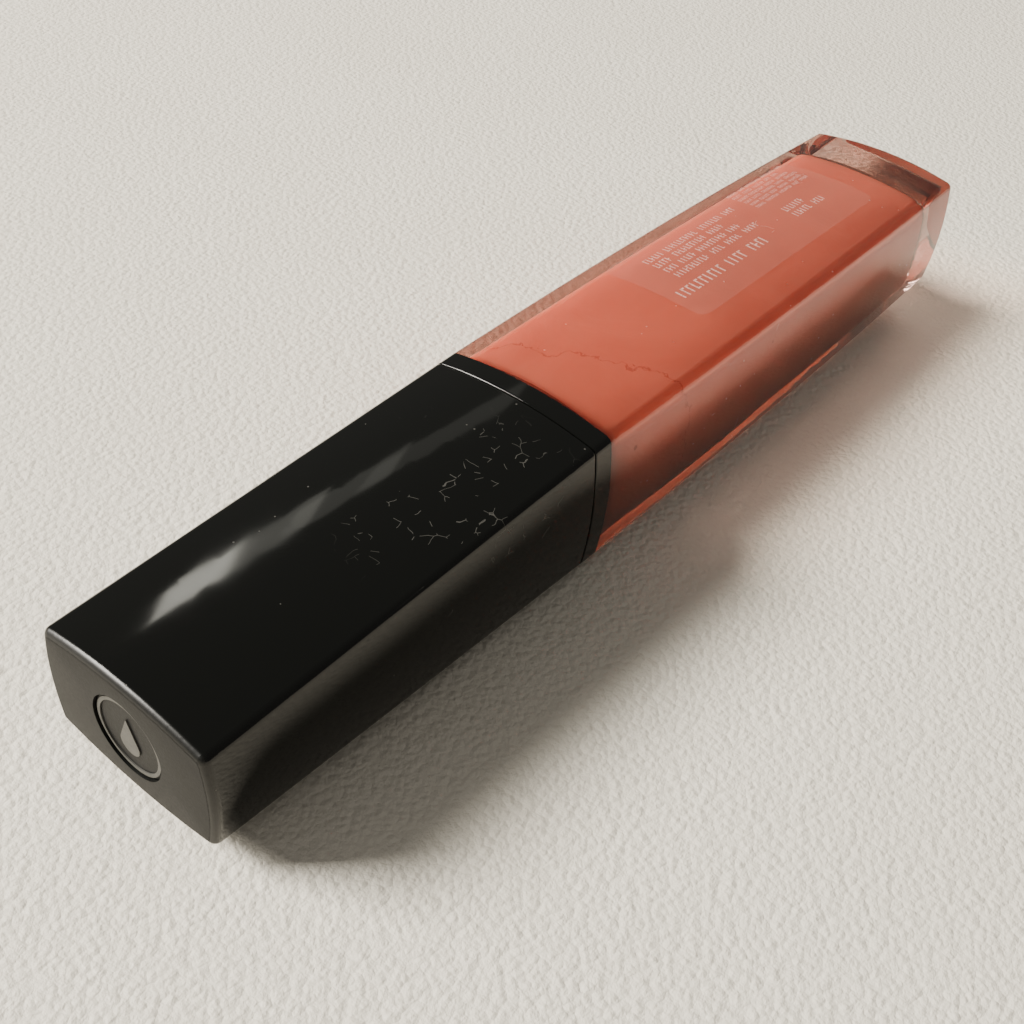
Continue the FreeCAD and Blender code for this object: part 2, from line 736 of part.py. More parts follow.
def drop_sketch(body, x):
    """A plain drop: a round bottom and two straight sides that meet in a point."""
    radius = size("drop_radius")
    height = size("drop_height")
    # The sides touch the round part where they stand square to its radius.
    lean = math.asin(plain(radius) / plain(height))
    touch_x = plain(radius) * math.cos(lean)
    touch_y = plain(radius) * math.sin(lean)
    middle = (radius - height) / 2
    centre = Vector(0, plain(middle), 0)
    point = Vector(0, plain(middle + height), 0)
    sketch = plane_sketch(body, "drop_outline", "YZ_Plane", x)
    circle = Part.Circle(centre, Vector(0, 0, 1), plain(radius))
    bowl = Part.ArcOfCircle(circle, 2 * QUARTER_ARC - lean, 4 * QUARTER_ARC + lean)
    round_part = sketch.addGeometry(bowl, False)
    right_touch = centre + Vector(touch_x, touch_y, 0)
    left_touch = centre + Vector(-touch_x, touch_y, 0)
    right = sketch.addGeometry(Part.LineSegment(right_touch, point), False)
    left = sketch.addGeometry(Part.LineSegment(point, left_touch), False)
    constrain(sketch, "Tangent", round_part, END, right, START)
    constrain(sketch, "Coincident", right, END, left, START)
    constrain(sketch, "Tangent", left, END, round_part, START)
    constrain(sketch, "PointOnObject", round_part, CENTRE, V_AXIS)
    constrain(sketch, "PointOnObject", right, END, V_AXIS)
    constrain(sketch, "Radius", round_part, value=radius)
    constrain(sketch, "DistanceY", *ORIGIN_POINT, round_part, CENTRE, value=middle)
    constrain(sketch, "DistanceY", round_part, CENTRE, right, END, value=height)
    return sketch


# ---- seal and wand ---------------------------------------------------------------------------

def make_seal():
    """Seal ring squeezed between the wiper's flange and the liner's seat."""
    body = start_body("seal_ring")
    pad(body, "seal_blank", disc(body, "seal_outside", seal_back_x, neck_radius), size("seal_thickness"))
    bore = disc(body, "seal_inside", seal_front_x, stem_radius + size("seal_bore_gap"))
    pocket(body, "seal_bore", bore, size("seal_thickness"))
    return body


def make_stem():
    """Wand stem: a head behind the socket, a long rod and a blind hole for the applicator."""
    body = start_body("wand_stem")
    head_front = socket_end_x - size("stem_fit")
    head_back = head_front - size("head_length")
    plug_end = stem_end_x - size("plug_length") - size("plug_fit")
    plug_bore = size("plug_radius") + size("plug_fit")
    points = [
        (head_back, ON_AXIS),
        (head_back, size("head_radius")),
        (head_front, size("head_radius")),
        (head_front, stem_radius),
        (stem_end_x, stem_radius),
        (stem_end_x, plug_bore),
        (plug_end, plug_bore),
        (plug_end, ON_AXIS),
    ]
    revolve(body, "stem_turned", outline(body, "stem_profile", "XY_Plane", points))
    return body


def make_nib():
    """Applicator core: a plug held in the stem and a thicker core under the pile."""
    body = start_body("applicator_nib")
    core_start = stem_end_x + size("plug_fit")
    core_end = applicator_x - size("slant_length") + core_radius
    points = [
        (stem_end_x - size("plug_length"), ON_AXIS),
        (stem_end_x - size("plug_length"), size("plug_radius")),
        (core_start, size("plug_radius")),
        (core_start, core_radius),
        (core_end, core_radius),
        (core_end, ON_AXIS),
    ]
    revolve(body, "nib_turned", outline(body, "nib_profile", "XY_Plane", points))
    return body


def make_flock():
    """Flocked sleeve over the core, with a domed tip cut to a slant."""
    body = start_body("applicator_flock")
    radius = size("flock_radius")
    start = stem_end_x + size("plug_fit")
    shoulder = applicator_x - radius
    core_end = applicator_x - size("slant_length") + core_radius
    sketch = plane_sketch(body, "flock_profile", "XY_Plane")
    corner = Vector(plain(shoulder), plain(radius), 0)
    nose = Vector(plain(applicator_x), 0, 0)
    back = Vector(plain(start), 0, 0)
    back_top = Vector(plain(start), plain(radius), 0)
    side = sketch.addGeometry(Part.LineSegment(back_top, corner), False)
    circle = Part.Circle(Vector(plain(shoulder), 0, 0), Vector(0, 0, 1), plain(radius))
    dome = sketch.addGeometry(Part.ArcOfCircle(circle, 0, QUARTER_ARC), False)
    axis = sketch.addGeometry(Part.LineSegment(nose, back), False)
    end = sketch.addGeometry(Part.LineSegment(back, back_top), False)
    constrain(sketch, "Tangent", side, END, dome, END)
    constrain(sketch, "Coincident", dome, START, axis, START)
    constrain(sketch, "Coincident", axis, END, end, START)
    constrain(sketch, "Coincident", end, END, side, START)
    constrain(sketch, "PointOnObject", dome, CENTRE, H_AXIS)
    constrain(sketch, "PointOnObject", dome, START, H_AXIS)
    constrain(sketch, "PointOnObject", axis, END, H_AXIS)
    constrain(sketch, "Vertical", end)
    constrain(sketch, "Radius", dome, value=radius)
    constrain(sketch, "DistanceX", *ORIGIN_POINT, dome, CENTRE, value=shoulder)
    constrain(sketch, "DistanceX", *ORIGIN_POINT, end, START, value=start)
    revolve(body, "flock_turned", sketch)
    core = disc(body, "core_circle", core_end, core_radius)
    pocket(body, "core_hole", core, core_end - start)
    slant_start = applicator_x - size("slant_length")
    drop = size("slant_drop")
    above = [
        (slant_start, radius),
        (applicator_x, radius - drop),
        (applicator_x + radius, radius - drop),
        (applicator_x + radius, 2 * radius),
        (slant_start, 2 * radius),
    ]
    wedge = outline(body, "slant", "XZ_Plane", above)
    feature(body, "Pocket", "slant_cut", wedge, False, Length=4 * radius, Midplane=True)
    return body


parts = [
    make_bottle(), make_collar(), make_wiper(), make_gloss(), make_film(),
    make_shell(), make_liner(), *make_emblem(),
    make_seal(), make_stem(), make_nib(), make_flock(),
]
doc.recompute()

for item in doc.Objects:
    if "Invalid" in item.State or "Error" in item.State:
        raise RuntimeError(f"{item.Name} failed: {item.State}")
os.makedirs("parts", exist_ok=True)
for part in parts:
    shape = part.Shape
    if shape.isNull() or not shape.isValid() or not shape.Solids:
        raise RuntimeError(f"{part.Label} is not a valid solid")
    shape.exportStep(f"parts/{part.Label}.step")
    box = shape.BoundBox
    print(f"{part.Label:17s} {len(shape.Solids)} solid, {shape.Volume:9.2f} mm3, "
          f"X {box.XMin:7.2f} {box.XMax:7.2f}  Y {box.YMin:6.2f} {box.YMax:6.2f}  "
          f"Z {box.ZMin:6.2f} {box.ZMax:6.2f}")
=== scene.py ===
# %% [markdown]
# # A lip gloss tube
# The object is a slim tube, 101 mm long, that lies on its broad face. A black cap with a wand
# screws onto a thick clear bottle filled with coral gloss. The solids come from the packed
# model, in metres, and this script gives them their finishes, and makes anew the few pieces
# whose look needs it: the gloss itself, the label film and its print.

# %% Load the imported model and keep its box
import json
import math
import random

import bmesh
import bpy
from mathutils import Matrix, Vector
from mathutils.bvhtree import BVHTree

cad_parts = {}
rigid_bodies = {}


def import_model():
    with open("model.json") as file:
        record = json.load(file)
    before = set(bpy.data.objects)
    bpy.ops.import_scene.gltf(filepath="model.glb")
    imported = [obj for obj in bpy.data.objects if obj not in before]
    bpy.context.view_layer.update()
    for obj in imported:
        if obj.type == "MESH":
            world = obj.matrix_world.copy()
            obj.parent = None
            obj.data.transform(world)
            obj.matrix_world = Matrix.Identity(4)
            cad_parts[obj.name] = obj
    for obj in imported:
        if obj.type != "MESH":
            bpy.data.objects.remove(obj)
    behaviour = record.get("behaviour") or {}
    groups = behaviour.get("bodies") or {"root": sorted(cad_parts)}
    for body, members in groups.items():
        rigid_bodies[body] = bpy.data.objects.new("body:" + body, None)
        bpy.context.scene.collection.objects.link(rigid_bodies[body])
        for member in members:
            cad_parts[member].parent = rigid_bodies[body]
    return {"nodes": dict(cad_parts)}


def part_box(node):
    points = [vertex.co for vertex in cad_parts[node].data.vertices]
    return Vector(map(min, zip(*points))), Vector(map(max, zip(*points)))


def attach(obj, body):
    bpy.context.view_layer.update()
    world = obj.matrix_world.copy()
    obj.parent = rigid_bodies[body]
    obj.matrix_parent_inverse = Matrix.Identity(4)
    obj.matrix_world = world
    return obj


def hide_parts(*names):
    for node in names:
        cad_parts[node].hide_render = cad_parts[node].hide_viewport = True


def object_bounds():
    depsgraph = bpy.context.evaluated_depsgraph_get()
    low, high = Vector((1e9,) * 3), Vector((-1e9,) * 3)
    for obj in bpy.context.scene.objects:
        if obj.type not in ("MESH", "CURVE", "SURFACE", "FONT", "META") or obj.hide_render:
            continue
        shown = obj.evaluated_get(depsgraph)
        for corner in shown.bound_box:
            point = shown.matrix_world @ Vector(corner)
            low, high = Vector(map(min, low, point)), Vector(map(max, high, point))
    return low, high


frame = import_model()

cad_low, cad_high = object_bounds()
MM = 0.001
print("model box, mm:", [round(v / MM, 2) for v in (*cad_low, *cad_high)])

# %% [markdown]
# ## The camera
# The tube is seen from a step off its capped end, from above, so the closed end, the top and
# one side all show. A camera can be placed by its turn in degrees, but a place, a point to look
# at and a roll are easier to read. `to_track_quat` turns the camera's -Z axis to the point, and
# the roll is a further turn about that same axis.

# %% Camera
CAMERA_PLACE = Vector((-77.74, -48.95, 74.93)) * MM
LOOK_AT = Vector((-16.5, -3.9, 7.0)) * MM
CAMERA_ROLL = math.radians(5.2)

camera = bpy.data.objects.new("camera", bpy.data.cameras.new("camera"))
bpy.context.scene.collection.objects.link(camera)
camera.data.lens = 45.65
camera.data.sensor_width = 36.0
camera.data.clip_start = 0.005
camera.rotation_mode = "QUATERNION"
camera.location = CAMERA_PLACE
aim = (LOOK_AT - CAMERA_PLACE).to_track_quat("-Z", "Y")
camera.rotation_quaternion = aim @ Matrix.Rotation(CAMERA_ROLL, 4, "Z").to_quaternion()
bpy.context.scene.camera = camera
print("camera right axis:", [round(v, 3) for v in camera.rotation_quaternion @ Vector((1, 0, 0))])

# %% [markdown]
# ## Helpers for node materials
# Every finish here is a node tree. Trees can be drawn in the editor, but code can repeat them.
# A few short helpers keep the cells readable: `add` makes a node and sets its properties and
# unlinked sockets, `join` links an output to an input, and the others make one common node each.

# %% Node helpers
def add(tree, kind, sockets=None, **settings):
    """A node of that kind, its settings and its socket values."""
    made = tree.nodes.new(kind)
    for key, value in settings.items():
        setattr(made, key, value)
    for key, value in (sockets or {}).items():
        made.inputs[key].default_value = value
    return made


def join(tree, output, node, socket):
    """Link an output to a node's input, named or numbered."""
    tree.links.new(output, node.inputs[socket])


def math_node(tree, operation, first, second=None, third=None):
    """A Math node; each operand is a number or an output."""
    made = add(tree, "ShaderNodeMath", operation=operation)
    for index, value in enumerate((first, second, third)):
        if value is None:
            continue
        if isinstance(value, (int, float)):
            made.inputs[index].default_value = value
        else:
            join(tree, value, made, index)
    return made.outputs[0]


def ramp(tree, value, low, high):
    """0 below low and 1 above high, smooth between."""
    made = add(tree, "ShaderNodeMapRange", {"From Min": low, "From Max": high},
               interpolation_type="SMOOTHSTEP")
    join(tree, value, made, "Value")
    return made.outputs["Result"]


print("helpers ready: add, join, math_node, ramp")


# %% [markdown]
# Two values or colours that change over a surface are mixed by a mask. A Mix node numbers its
# sockets by data type, so two helpers hide those numbers, and a third makes a Bump node.

# %% Blend helpers
def blend_colours(tree, factor, first, second):
    """A Mix node between two colours, each a tuple or an output."""
    made = add(tree, "ShaderNodeMix", data_type="RGBA")
    for socket, value in ((0, factor), (6, first), (7, second)):
        if isinstance(value, (tuple, float, int)):
            made.inputs[socket].default_value = value
        else:
            join(tree, value, made, socket)
    return made.outputs[2]


def blend_values(tree, factor, first, second):
    """A Mix node between two plain values."""
    made = add(tree, "ShaderNodeMix", data_type="FLOAT")
    for socket, value in ((0, factor), (2, first), (3, second)):
        if isinstance(value, (float, int)):
            made.inputs[socket].default_value = value
        else:
            join(tree, value, made, socket)
    return made.outputs[0]


def bump(tree, height, strength, depth):
    """A Bump node's normal; depth is the relief in metres."""
    made = add(tree, "ShaderNodeBump", {"Strength": strength, "Distance": depth})
    join(tree, height, made, "Height")
    return made.outputs["Normal"]


print("helpers ready: blend_colours, blend_values, bump")


# %% [markdown]
# A finish is a material, and an effect that several finishes share is a shader group. A group
# takes a place on the object and named numbers, and puts out masks between 0 and 1.

# %% Material and group helpers
def new_material(name):
    """An empty material with its output, its Principled shader and Object coordinates."""
    material = bpy.data.materials.new(name)
    material.use_nodes = True
    tree = material.node_tree
    tree.nodes.clear()
    output = add(tree, "ShaderNodeOutputMaterial")
    shader = add(tree, "ShaderNodeBsdfPrincipled")
    join(tree, shader.outputs[0], output, "Surface")
    place = add(tree, "ShaderNodeTexCoord").outputs["Object"]
    return material, tree, shader, place


def new_group(name, outputs, **inputs):
    """A shader group with a Place vector, number inputs and value outputs."""
    group = bpy.data.node_groups.new(name, "ShaderNodeTree")
    group.interface.new_socket("Place", in_out="INPUT", socket_type="NodeSocketVector")
    for key, value in inputs.items():
        socket = group.interface.new_socket(key, in_out="INPUT", socket_type="NodeSocketFloat")
        socket.default_value = value
    for key in outputs:
        group.interface.new_socket(key, in_out="OUTPUT", socket_type="NodeSocketFloat")
    return group, add(group, "NodeGroupInput").outputs, add(group, "NodeGroupOutput")


def place_group(tree, group, place, **values):
    """A copy of a shared group in a material, with its own values."""
    made = add(tree, "ShaderNodeGroup", node_tree=group)
    join(tree, place, made, "Place")
    for key, value in values.items():
        made.inputs[key].default_value = value
    return made.outputs


print("helpers ready: new_material, new_group, place_group")

# %% [markdown]
# ## Shared effects
# A glossy black cap that has been in a bag carries dust specks, a few curly hairlines and a
# faint greasy haze. All three are masks from noise, so they could be painted by hand as a
# texture, but a shader group makes them once for every glossy finish here. Specks are the
# centres of a few Voronoi cells. Hairlines are Voronoi cell borders on a bent coordinate, kept
# only inside a few patches.

# %% Group: specks, hairlines and haze
SPECK_SIZE = 0.09
CELLS_WITHOUT_SPECK = 0.86
HAIR_THICKNESS = 0.013
HAIR_BEND = 0.0014
HAIR_BREAKS = 0.54

handling, source, sink = new_group(
    "handling marks", ("Specks", "Hairlines", "Haze"),
    SpeckScale=700.0, HairScale=520.0, Patches=0.6,
)
speck_cells = add(handling, "ShaderNodeTexVoronoi")
join(handling, source["Place"], speck_cells, "Vector")
join(handling, source["SpeckScale"], speck_cells, "Scale")
speck_dot = math_node(handling, "LESS_THAN", speck_cells.outputs["Distance"], SPECK_SIZE)
chance = add(handling, "ShaderNodeSeparateColor")
join(handling, speck_cells.outputs["Color"], chance, 0)
speck_kept = math_node(handling, "GREATER_THAN", chance.outputs[0], CELLS_WITHOUT_SPECK)
join(handling, math_node(handling, "MULTIPLY", speck_dot, speck_kept), sink, "Specks")

bend_noise = add(handling, "ShaderNodeTexNoise", {"Scale": 420.0, "Detail": 2.0})
join(handling, source["Place"], bend_noise, "Vector")
bent = add(handling, "ShaderNodeMix", {0: HAIR_BEND}, data_type="VECTOR")
join(handling, source["Place"], bent, 4)
join(handling, bend_noise.outputs["Color"], bent, 5)
hair_cells = add(handling, "ShaderNodeTexVoronoi", feature="DISTANCE_TO_EDGE")
join(handling, bent.outputs[1], hair_cells, "Vector")
join(handling, source["HairScale"], hair_cells, "Scale")
hair_line = math_node(handling, "LESS_THAN", hair_cells.outputs["Distance"], HAIR_THICKNESS)
break_noise = add(handling, "ShaderNodeTexNoise", {"Scale": 950.0, "Detail": 0.0})
join(handling, source["Place"], break_noise, "Vector")
broken = math_node(handling, "GREATER_THAN", break_noise.outputs["Fac"], HAIR_BREAKS)
hair_line = math_node(handling, "MULTIPLY", hair_line, broken)
patch_noise = add(handling, "ShaderNodeTexNoise", {"Scale": 130.0, "Detail": 1.0})
join(handling, source["Place"], patch_noise, "Vector")
patch = math_node(handling, "GREATER_THAN", patch_noise.outputs["Fac"], source["Patches"])
join(handling, math_node(handling, "MULTIPLY", hair_line, patch), sink, "Hairlines")

haze_noise = add(handling, "ShaderNodeTexNoise", {"Scale": 70.0, "Detail": 4.0, "Roughness": 0.6})
join(handling, source["Place"], haze_noise, "Vector")
join(handling, ramp(handling, haze_noise.outputs["Fac"], 0.42, 0.7), sink, "Haze")
print("group made:", handling.name)

# %% [markdown]
# Moulded, matt and flocked surfaces all need an even grain. One group gives a fine grain and a
# broad shade, each from noise, at a scale that each material sets for itself.

# %% Group: grain
grain, source, sink = new_group("grain", ("Fine", "Broad"), FineScale=3000.0, BroadScale=150.0)
fine_noise = add(grain, "ShaderNodeTexNoise", {"Detail": 3.0, "Roughness": 0.6})
broad_noise = add(grain, "ShaderNodeTexNoise", {"Detail": 2.0})
for noise, scale in ((fine_noise, "FineScale"), (broad_noise, "BroadScale")):
    join(grain, source["Place"], noise, "Vector")
    join(grain, source[scale], noise, "Scale")
join(grain, fine_noise.outputs["Fac"], sink, "Fine")
join(grain, broad_noise.outputs["Fac"], sink, "Broad")
print("group made:", grain.name)

# %% [markdown]
# ## Black gloss
# The cap and the collar are moulded black plastic with a lacquer-like polish. Nearly all that
# is seen of it is reflection, so the colour is almost black and the roughness low, and the
# life comes from haze that widens the highlight and from pale dust and hairlines.

# %% Finish: black gloss
CLOSED_END = float(cad_low[0])
RUBBED_SPOT = (-0.0235, -0.0045, 0.0135)
LACQUER_IOR = 1.37
RUBBED_RADIUS = 6 * MM
RUBBED_FADE = 11 * MM
BLACK = (0.0030, 0.0033, 0.0028, 1)
DUST = (0.060, 0.058, 0.052, 1)


def black_gloss_finish():
    material, tree, shader, place = new_material("black gloss")
    marks = place_group(tree, handling, place, SpeckScale=1100.0, HairScale=620.0, Patches=0.47)
    spot = add(tree, "ShaderNodeVectorMath", {1: RUBBED_SPOT}, operation="DISTANCE")
    join(tree, place, spot, 0)
    rubbed = math_node(tree, "SUBTRACT", 1.0, ramp(tree, spot.outputs["Value"], RUBBED_RADIUS, RUBBED_FADE))
    hairs = math_node(tree, "MULTIPLY", marks["Hairlines"], rubbed)
    dirt = math_node(tree, "MAXIMUM", marks["Specks"], hairs)
    colour = blend_colours(tree, dirt, BLACK, DUST)
    join(tree, colour, shader, "Base Color")
    smooth = blend_values(tree, marks["Haze"], 0.055, 0.10)
    axes = add(tree, "ShaderNodeSeparateXYZ")
    join(tree, place, axes, 0)
    short_of_end = ramp(tree, axes.outputs["X"], CLOSED_END + 0.2 * MM, CLOSED_END + 0.6 * MM)
    satin = blend_values(tree, short_of_end, 0.40, smooth)
    join(tree, blend_values(tree, dirt, satin, 0.5), shader, "Roughness")
    moulding = place_group(tree, grain, place, FineScale=900.0, BroadScale=90.0)
    join(tree, bump(tree, moulding["Broad"], 0.02, 0.0002), shader, "Normal")
    shader.inputs["IOR"].default_value = LACQUER_IOR
    return material


black_gloss = black_gloss_finish()
print("finish made:", black_gloss.name)

# %% [markdown]
# ## The other moulded finishes
# The round plate in the cap's end is the same black with a satin face. The wiper and seal are
# milky plastic, the liner is plain hidden plastic with a light grain, and the stem and nib carry
# a smear of gloss. One function makes them all from a few values.

# %% Finish: satin, milky and plain plastics
def grained_plastic(name, dark, light, roughness, relief, fine_scale=2500.0, see_through=0.0,
                    shine=0.5):
    material, tree, shader, place = new_material(name)
    waves = place_group(tree, grain, place, FineScale=fine_scale, BroadScale=220.0)
    join(tree, blend_colours(tree, waves["Broad"], dark, light), shader, "Base Color")
    rough = blend_values(tree, waves["Fine"], roughness * 0.8, roughness * 1.2)
    join(tree, rough, shader, "Roughness")
    join(tree, bump(tree, waves["Fine"], 0.4, relief), shader, "Normal")
    shader.inputs["Subsurface Weight"].default_value = see_through
    shader.inputs["Subsurface Radius"].default_value = (0.001, 0.0009, 0.0008)
    shader.inputs["Specular IOR Level"].default_value = shine
    return material


black_satin = grained_plastic(
    "black satin", (0.008, 0.008, 0.008, 1), (0.014, 0.014, 0.013, 1), 0.38, 0.00002, 5000.0,
    shine=0.05)
liner_plastic = grained_plastic(
    "liner plastic", (0.02, 0.02, 0.02, 1), (0.03, 0.03, 0.03, 1), 0.35, 0.00002)
milky_plastic = grained_plastic(
    "milky plastic", (0.66, 0.63, 0.58, 1), (0.78, 0.75, 0.70, 1), 0.3, 0.00002, 1800.0, 0.4)
stem_plastic = grained_plastic(
    "stem plastic", (0.62, 0.33, 0.27, 1), (0.80, 0.62, 0.55, 1), 0.16, 0.00003, 900.0, 0.2)
flock = grained_plastic(
    "coral flock", (0.50, 0.10, 0.065, 1), (0.72, 0.22, 0.15, 1), 0.6, 0.00012, 6500.0, 0.3)
print("plastics made")


# %% [markdown]
# The foil on the plate is stamped, not polished, and it catches little light: half metal, half
# dull paint, with a fine grain that breaks the reflection.

# %% Finish: silver foil
FOIL_DARK = (0.07, 0.07, 0.064, 1)
FOIL_LIGHT = (0.12, 0.117, 0.108, 1)


def foil_finish():
    material, tree, shader, place = new_material("silver foil")
    waves = place_group(tree, grain, place, FineScale=6000.0, BroadScale=900.0)
    tint = blend_colours(tree, waves["Broad"], FOIL_DARK, FOIL_LIGHT)
    join(tree, tint, shader, "Base Color")
    join(tree, blend_values(tree, waves["Fine"], 0.35, 0.6), shader, "Roughness")
    shader.inputs["Metallic"].default_value = 0.35
    shader.inputs["Specular IOR Level"].default_value = 0.2
    return material


silver_foil = foil_finish()
print("finish made:", silver_foil.name)

# %% [markdown]
# ## Clear plastic
# The bottle is thick, clear and polished. It is a plain refracting shader. Light has to reach
# the gloss through it: a renderer's shadow rays stop at glass, so a Transparent shader takes
# over for shadow rays only, by the Light Path node, and the gloss is lit as in the real thing.
# The plastic is clear, but its colour is painted: dark coral beside the gloss is painted glow and
# painted shade, and a paler coral in the thick base is painted glow.

# %% Finish: clear plastic
def let_shadows_through(tree, shader, tint):
    """Mix the shader with Transparent for shadow rays."""
    path = add(tree, "ShaderNodeLightPath")
    clear = add(tree, "ShaderNodeBsdfTransparent", {"Color": tint})
    mix = add(tree, "ShaderNodeMixShader")
    join(tree, path.outputs["Is Shadow Ray"], mix, 0)
    join(tree, shader.outputs[0], mix, 1)
    join(tree, clear.outputs[0], mix, 2)
    output = next(node for node in tree.nodes if node.type == "OUTPUT_MATERIAL")
    join(tree, mix.outputs[0], output, "Surface")


# painted glow and shade: the clear wall's colour beside the gloss, and a paler painted glow in the base
WALL_PAINTED_GLOW_AND_SHADE = (0.30, 0.16, 0.13, 1)
BASE_PAINTED_GLOW_AND_SHADE = (0.42, 0.275, 0.235, 1)
GLOSS_END = float(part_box("gloss_fill")[1][0])
CLEAR_IOR = 1.49


def clear_plastic_finish():
    material, tree, shader, place = new_material("clear plastic")
    marks = place_group(tree, handling, place, SpeckScale=900.0, HairScale=600.0, Patches=0.68)
    axes = add(tree, "ShaderNodeSeparateXYZ")
    join(tree, place, axes, 0)
    in_base = ramp(tree, axes.outputs["X"], GLOSS_END - 2 * MM, GLOSS_END + 3 * MM)
    # painted glow and painted shade of the gloss in the clear wall, paler in the thick base
    tint = blend_colours(tree, in_base, WALL_PAINTED_GLOW_AND_SHADE, BASE_PAINTED_GLOW_AND_SHADE)
    join(tree, tint, shader, "Base Color")
    dirt = math_node(tree, "MAXIMUM", marks["Specks"], marks["Hairlines"])
    smooth = blend_values(tree, marks["Haze"], 0.015, 0.05)
    join(tree, blend_values(tree, dirt, smooth, 0.35), shader, "Roughness")
    moulding = place_group(tree, grain, place, FineScale=900.0, BroadScale=110.0)
    join(tree, bump(tree, moulding["Broad"], 0.05, 0.0002), shader, "Normal")
    shader.inputs["IOR"].default_value = CLEAR_IOR
    shader.inputs["Transmission Weight"].default_value = 1.0
    let_shadows_through(tree, shader, (1.0, 0.97, 0.95, 1))
    return material


clear_plastic = clear_plastic_finish()
print("finish made:", clear_plastic.name)

# %% [markdown]
# ## Coral gloss
# The gloss is a thick cream that wets the wall, so no shine comes from its own face: the shine
# is the bottle's. It is matt here, with light passing a little way in. Its colour drifts in
# soft clouds, and where it has drawn away from the wall a thin crooked line crosses it a few
# millimetres past the collar, with small bubbles beside it.

# %% Finish: coral gloss
WRINKLE_PLACE = -3.0 * MM
WRINKLE_WANDER = 6.5 * MM
WRINKLE_LEAN = -0.55
CORAL_DEEP = (0.54, 0.146, 0.091, 1)
CORAL_PALE = (0.69, 0.232, 0.156, 1)
FLAW = (0.36, 0.075, 0.047, 1)


def coral_gloss_finish():
    material, tree, shader, place = new_material("coral gloss")
    axes = add(tree, "ShaderNodeSeparateXYZ")
    join(tree, place, axes, 0)
    clouds = add(tree, "ShaderNodeTexNoise", {"Scale": 110.0, "Detail": 5.0, "Roughness": 0.6,
                                              "Distortion": 1.2})
    join(tree, place, clouds, "Vector")
    body = blend_colours(tree, clouds.outputs["Fac"], CORAL_DEEP, CORAL_PALE)
    wander = add(tree, "ShaderNodeTexNoise", {"Scale": 330.0, "Detail": 4.0, "Roughness": 0.65})
    join(tree, place, wander, "Vector")
    shift = math_node(tree, "MULTIPLY_ADD", wander.outputs["Fac"], WRINKLE_WANDER,
                      WRINKLE_PLACE - WRINKLE_WANDER / 2)
    lean = math_node(tree, "MULTIPLY_ADD", axes.outputs["Y"], WRINKLE_LEAN, shift)
    away = math_node(tree, "ABSOLUTE", math_node(tree, "SUBTRACT", axes.outputs["X"], lean))
    wrinkle = math_node(tree, "SUBTRACT", 1.0, ramp(tree, away, 0.03 * MM, 0.16 * MM))
    bubbles = add(tree, "ShaderNodeTexVoronoi", {"Scale": 480.0})
    join(tree, place, bubbles, "Vector")
    bubble = math_node(tree, "LESS_THAN", bubbles.outputs["Distance"], 0.12)
    pick = add(tree, "ShaderNodeSeparateColor")
    join(tree, bubbles.outputs["Color"], pick, 0)
    few = math_node(tree, "GREATER_THAN", pick.outputs[0], 0.93)
    bubble = math_node(tree, "MULTIPLY", bubble, few)
    flaw = math_node(tree, "MAXIMUM", math_node(tree, "MULTIPLY", wrinkle, 0.6), bubble)
    join(tree, blend_colours(tree, flaw, body, FLAW), shader, "Base Color")
    join(tree, blend_values(tree, clouds.outputs["Fac"], 0.6, 0.8), shader, "Roughness")
    relief = math_node(tree, "SUBTRACT", clouds.outputs["Fac"], flaw)
    join(tree, bump(tree, relief, 0.5, 0.00025), shader, "Normal")
    shader.inputs["Specular IOR Level"].default_value = 0.0
    shader.inputs["Subsurface Weight"].default_value = 0.8
    shader.inputs["Subsurface Radius"].default_value = (0.0045, 0.0022, 0.0016)
    shader.inputs["Subsurface Scale"].default_value = 1.0
    return material


coral_gloss = coral_gloss_finish()
print("finish made:", coral_gloss.name)

# %% [markdown]
# ## Finishes onto the model's own pieces
# These pieces have the right shape already, so they keep it and only take a better material in
# the slots they came with.

# %% Assign the finishes
FINISH_OF_NODE = {
    "bottle": clear_plastic,
    "bottle_collar": black_gloss,
    "cap_shell": black_gloss,
    "cap_liner": liner_plastic,
    "wiper": milky_plastic,
    "seal_ring": milky_plastic,
    "wand_stem": stem_plastic,
    "applicator_nib": stem_plastic,
    "applicator_flock": flock,
    "emblem_disc": black_satin,
    "emblem_ring": silver_foil,
    "emblem_drop": silver_foil,
}
for node_name, finish in FINISH_OF_NODE.items():
    for material_slot in frame["nodes"][node_name].material_slots:
        material_slot.material = finish
    print(node_name, "->", finish.name)

# %% [markdown]
# ## New pieces
# A new piece starts as a bmesh, which the operators shape, and ends as an object that moves with
# one body of the model and takes its finish from one named slot. One helper does the ending.

# %% Helper: close a piece
def finish_piece(bm, name, body, material):
    """Close a bmesh into an object that rides on a body."""
    mesh = bpy.data.meshes.new(name)
    bm.to_mesh(mesh)
    bm.free()
    for face in mesh.polygons:
        face.use_smooth = True
    mesh.materials.append(material)
    piece = bpy.data.objects.new(name, mesh)
    bpy.context.scene.collection.objects.link(piece)
    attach(piece, body)
    return piece


print("helper ready: finish_piece")

# %% [markdown]
# ## The satin end
# The cap's closed end is not polished like its sides: it has a fine satin face that throws back
# little light. The shell is one piece with one finish, so the end gets a skin of its own. The
# shell's mesh is copied, its doubles are merged, and only the faces that look out of the end
# are kept, moved out by a hair so they lie over the gloss.

# %% Piece: satin skin on the closed end
SKIN_LIFT = 0.012 * MM


